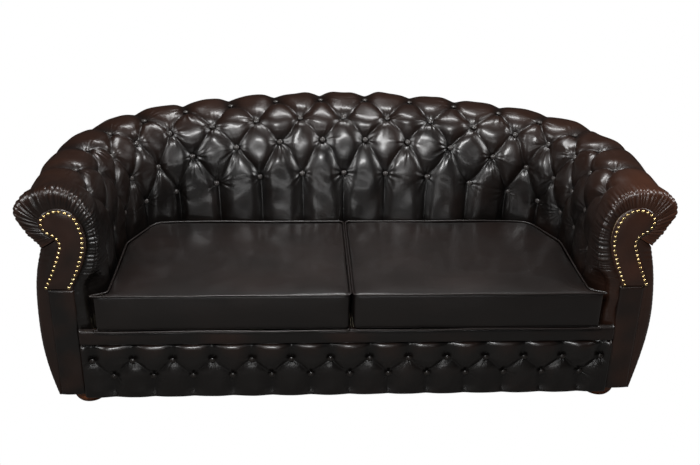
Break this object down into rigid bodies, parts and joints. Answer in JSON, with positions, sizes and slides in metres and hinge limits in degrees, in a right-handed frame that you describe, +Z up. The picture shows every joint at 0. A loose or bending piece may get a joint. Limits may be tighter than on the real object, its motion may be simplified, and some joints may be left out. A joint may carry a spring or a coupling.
{
  "type": "chesterfield sofa",
  "caption": "Chesterfield sofa in dark antique leather: horseshoe back with deep diamond tufting, scrolled arms with nailed facings, tufted apron, loose piped seat cushions and bun feet.",
  "frame": {"origin": "on the floor, under the middle of the sofa's width and depth", "axes": "+Z up; the front of the seat faces -Y; +X is towards the right arm as seen in the picture"},
  "size_m": [2.016, 0.94, 0.8247],
  "materials": {
    "antique_leather": "satin",
    "facing_leather": "satin",
    "button_leather": "satin",
    "cushion_leather": "satin",
    "antique_brass": "satin",
    "upholstery_foam": "matte",
    "hessian": "matte",
    "black_cambric": "matte",
    "spring_steel": "satin",
    "clip_plastic": "matte",
    "glide_plastic": "matte",
    "stained_wood": "satin",
    "plywood": "matte",
    "beech": "matte"
  },
  "bodies": {
    "sofa": {"apron_buttons": "button_leather", "apron_tufted_cover": "antique_leather", "back_base_rail": "beech", "back_buttons": "button_leather", "back_foam": "upholstery_foam", "back_lining": "hessian", "back_outer_cover": "antique_leather", "back_top_rail": "beech", "back_tufted_cover": "antique_leather", "border_strip": "antique_leather", "dust_cover": "black_cambric", "foot_blocks": "beech", "foot_bolts": "spring_steel", "foot_glides": "glide_plastic", "front_left_foot": "stained_wood", "front_right_foot": "stained_wood", "front_seat_rail": "beech", "left_arm_buttons": "button_leather", "left_arm_foam": "upholstery_foam", "left_arm_lining": "hessian", "left_arm_outer_cover": "antique_leather", "left_arm_post": "beech", "left_arm_top_rail": "beech", "left_arm_tufted_cover": "antique_leather", "left_base_rail": "beech", "left_dome_nails": "antique_brass", "left_post_panel": "antique_leather", "left_scroll_board": "plywood", "left_scroll_border": "antique_leather", "left_scroll_facing": "facing_leather", "left_seat_rail": "beech", "rear_left_foot": "stained_wood", "rear_right_foot": "stained_wood", "rear_seat_rail": "beech", "right_arm_buttons": "button_leather", "right_arm_foam": "upholstery_foam", "right_arm_lining": "hessian", "right_arm_outer_cover": "antique_leather", "right_arm_post": "beech", "right_arm_top_rail": "beech", "right_arm_tufted_cover": "antique_leather", "right_base_rail": "beech", "right_dome_nails": "antique_brass", "right_post_panel": "antique_leather", "right_scroll_board": "plywood", "right_scroll_border": "antique_leather", "right_scroll_facing": "facing_leather", "right_seat_rail": "beech", "seat_platform_pad": "upholstery_foam", "seat_springs": "spring_steel", "seat_stretchers": "beech", "spring_clips": "clip_plastic", "spring_cover": "hessian", "upright_formers": "plywood"},
    "left_cushion": {"left_cushion_cover": "cushion_leather", "left_cushion_foam": "upholstery_foam", "left_cushion_piping": "cushion_leather"},
    "right_cushion": {"right_cushion_cover": "cushion_leather", "right_cushion_foam": "upholstery_foam", "right_cushion_piping": "cushion_leather"}
  },
  "joints": [
    {"name": "left_cushion_lift", "type": "slide", "parent": "sofa", "child": "left_cushion", "axis": [0, 0, 1], "range_m": [0, 0.55]},
    {"name": "right_cushion_lift", "type": "slide", "parent": "sofa", "child": "right_cushion", "axis": [0, 0, 1], "range_m": [0, 0.55]}
  ]
}
